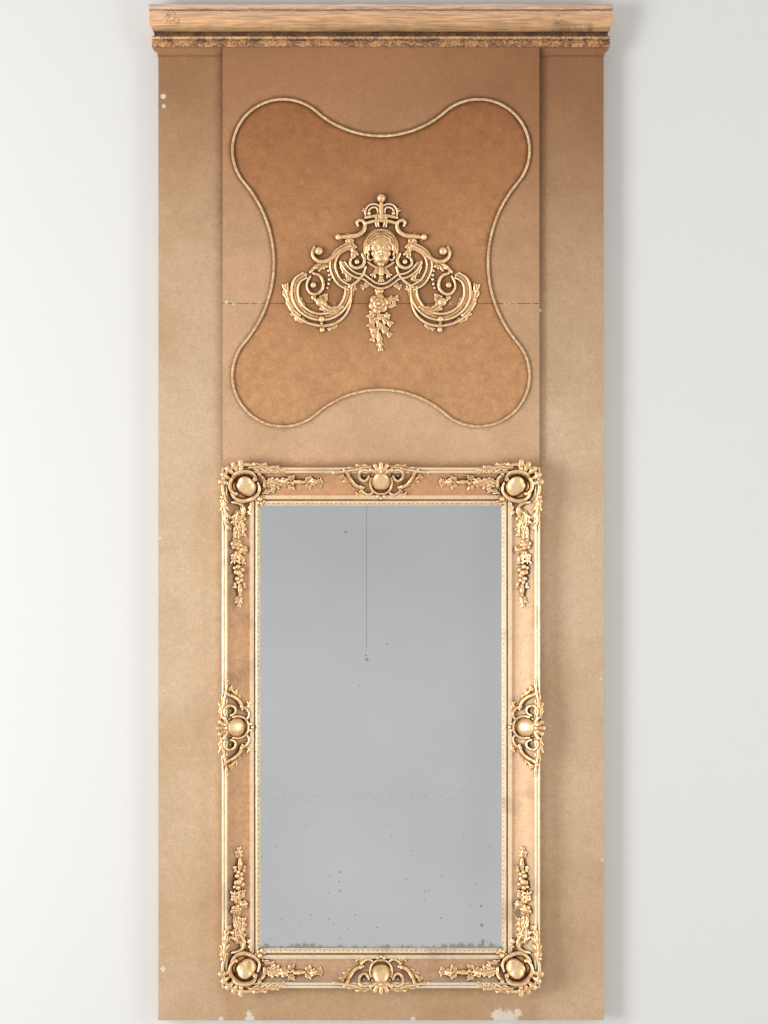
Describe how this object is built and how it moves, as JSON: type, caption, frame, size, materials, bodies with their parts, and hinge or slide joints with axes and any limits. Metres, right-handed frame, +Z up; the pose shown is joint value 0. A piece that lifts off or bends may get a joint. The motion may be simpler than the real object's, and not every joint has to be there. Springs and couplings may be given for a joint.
{
  "type": "trumeau mirror",
  "caption": "Tall painted overmantel mirror: moulded cornice, panel with a gilt rope cartouche and mask, and a mitred gilt frame with corner ornaments.",
  "frame": {"origin": "midway between the eyes of the two hanging plates, on the wall's plane", "axes": "+Z up, -Y towards the viewer, +X to the viewer's right"},
  "size_m": [0.866, 0.0776, 1.9],
  "materials": {
    "painted_wood": "gessoed and painted, waxed, darkened towards the top",
    "painted_panel": "gessoed and painted, golden brown inside the cartouche",
    "rubbed_bronze_paint": "worn bronze gilding over red bole",
    "gilt_moulding": "worn bronze gilding with dark wax in the hollows",
    "gilt_frame": "stippled bronze gilding on gesso",
    "gilt_ornament": "moulded composition, gilded and rubbed",
    "bare_pine": "sawn, dusty with age",
    "dark_iron": "blackened, touched with rust",
    "silvered_glass": "old silvering, foxed and speckled"
  },
  "bodies": {
    "root": {"backing_board_lower": "bare_pine", "backing_board_upper": "bare_pine", "bottom_cartouche": "gilt_ornament", "bottom_rail": "painted_wood", "cartouche_rope": "gilt_moulding", "corner_ornament_bottom_left": "gilt_ornament", "corner_ornament_bottom_right": "gilt_ornament", "corner_ornament_top_left": "gilt_ornament", "corner_ornament_top_right": "gilt_ornament", "cornice_bed_front_left": "painted_wood", "cornice_bed_front_right": "painted_wood", "cornice_bed_return_left": "painted_wood", "cornice_bed_return_right": "painted_wood", "cornice_crown_front": "rubbed_bronze_paint", "cornice_crown_return_left": "rubbed_bronze_paint", "cornice_crown_return_right": "rubbed_bronze_paint", "cornice_gilt_band_front": "gilt_moulding", "cornice_gilt_band_return_left": "gilt_moulding", "cornice_gilt_band_return_right": "gilt_moulding", "cornice_top_board": "bare_pine", "flower_drop": "gilt_ornament", "frame_rail_bottom": "gilt_frame", "frame_rail_left": "gilt_frame", "frame_rail_right": "gilt_frame", "frame_rail_top": "gilt_frame", "frame_screws": "dark_iron", "hanger_screws": "dark_iron", "hanging_plate_left": "dark_iron", "hanging_plate_right": "dark_iron", "left_cartouche": "gilt_ornament", "mascaron_crown": "gilt_ornament", "mascaron_mask": "gilt_ornament", "middle_rail": "bare_pine", "mirror_glass": "silvered_glass", "panel_board_lower": "painted_panel", "panel_board_upper": "painted_panel", "panel_screws": "dark_iron", "retaining_slips": "bare_pine", "ribbon_swag": "gilt_ornament", "right_cartouche": "gilt_ornament", "scroll_left": "gilt_ornament", "scroll_right": "gilt_ornament", "spray_bottom_left": "gilt_ornament", "spray_bottom_right": "gilt_ornament", "spray_lower_left": "gilt_ornament", "spray_lower_right": "gilt_ornament", "spray_top_left": "gilt_ornament", "spray_top_right": "gilt_ornament", "spray_upper_left": "gilt_ornament", "spray_upper_right": "gilt_ornament", "stile_left": "painted_wood", "stile_right": "painted_wood", "tenon_pegs": "bare_pine", "top_cartouche": "gilt_ornament", "top_rail": "bare_pine"}
  },
  "joints": []
}
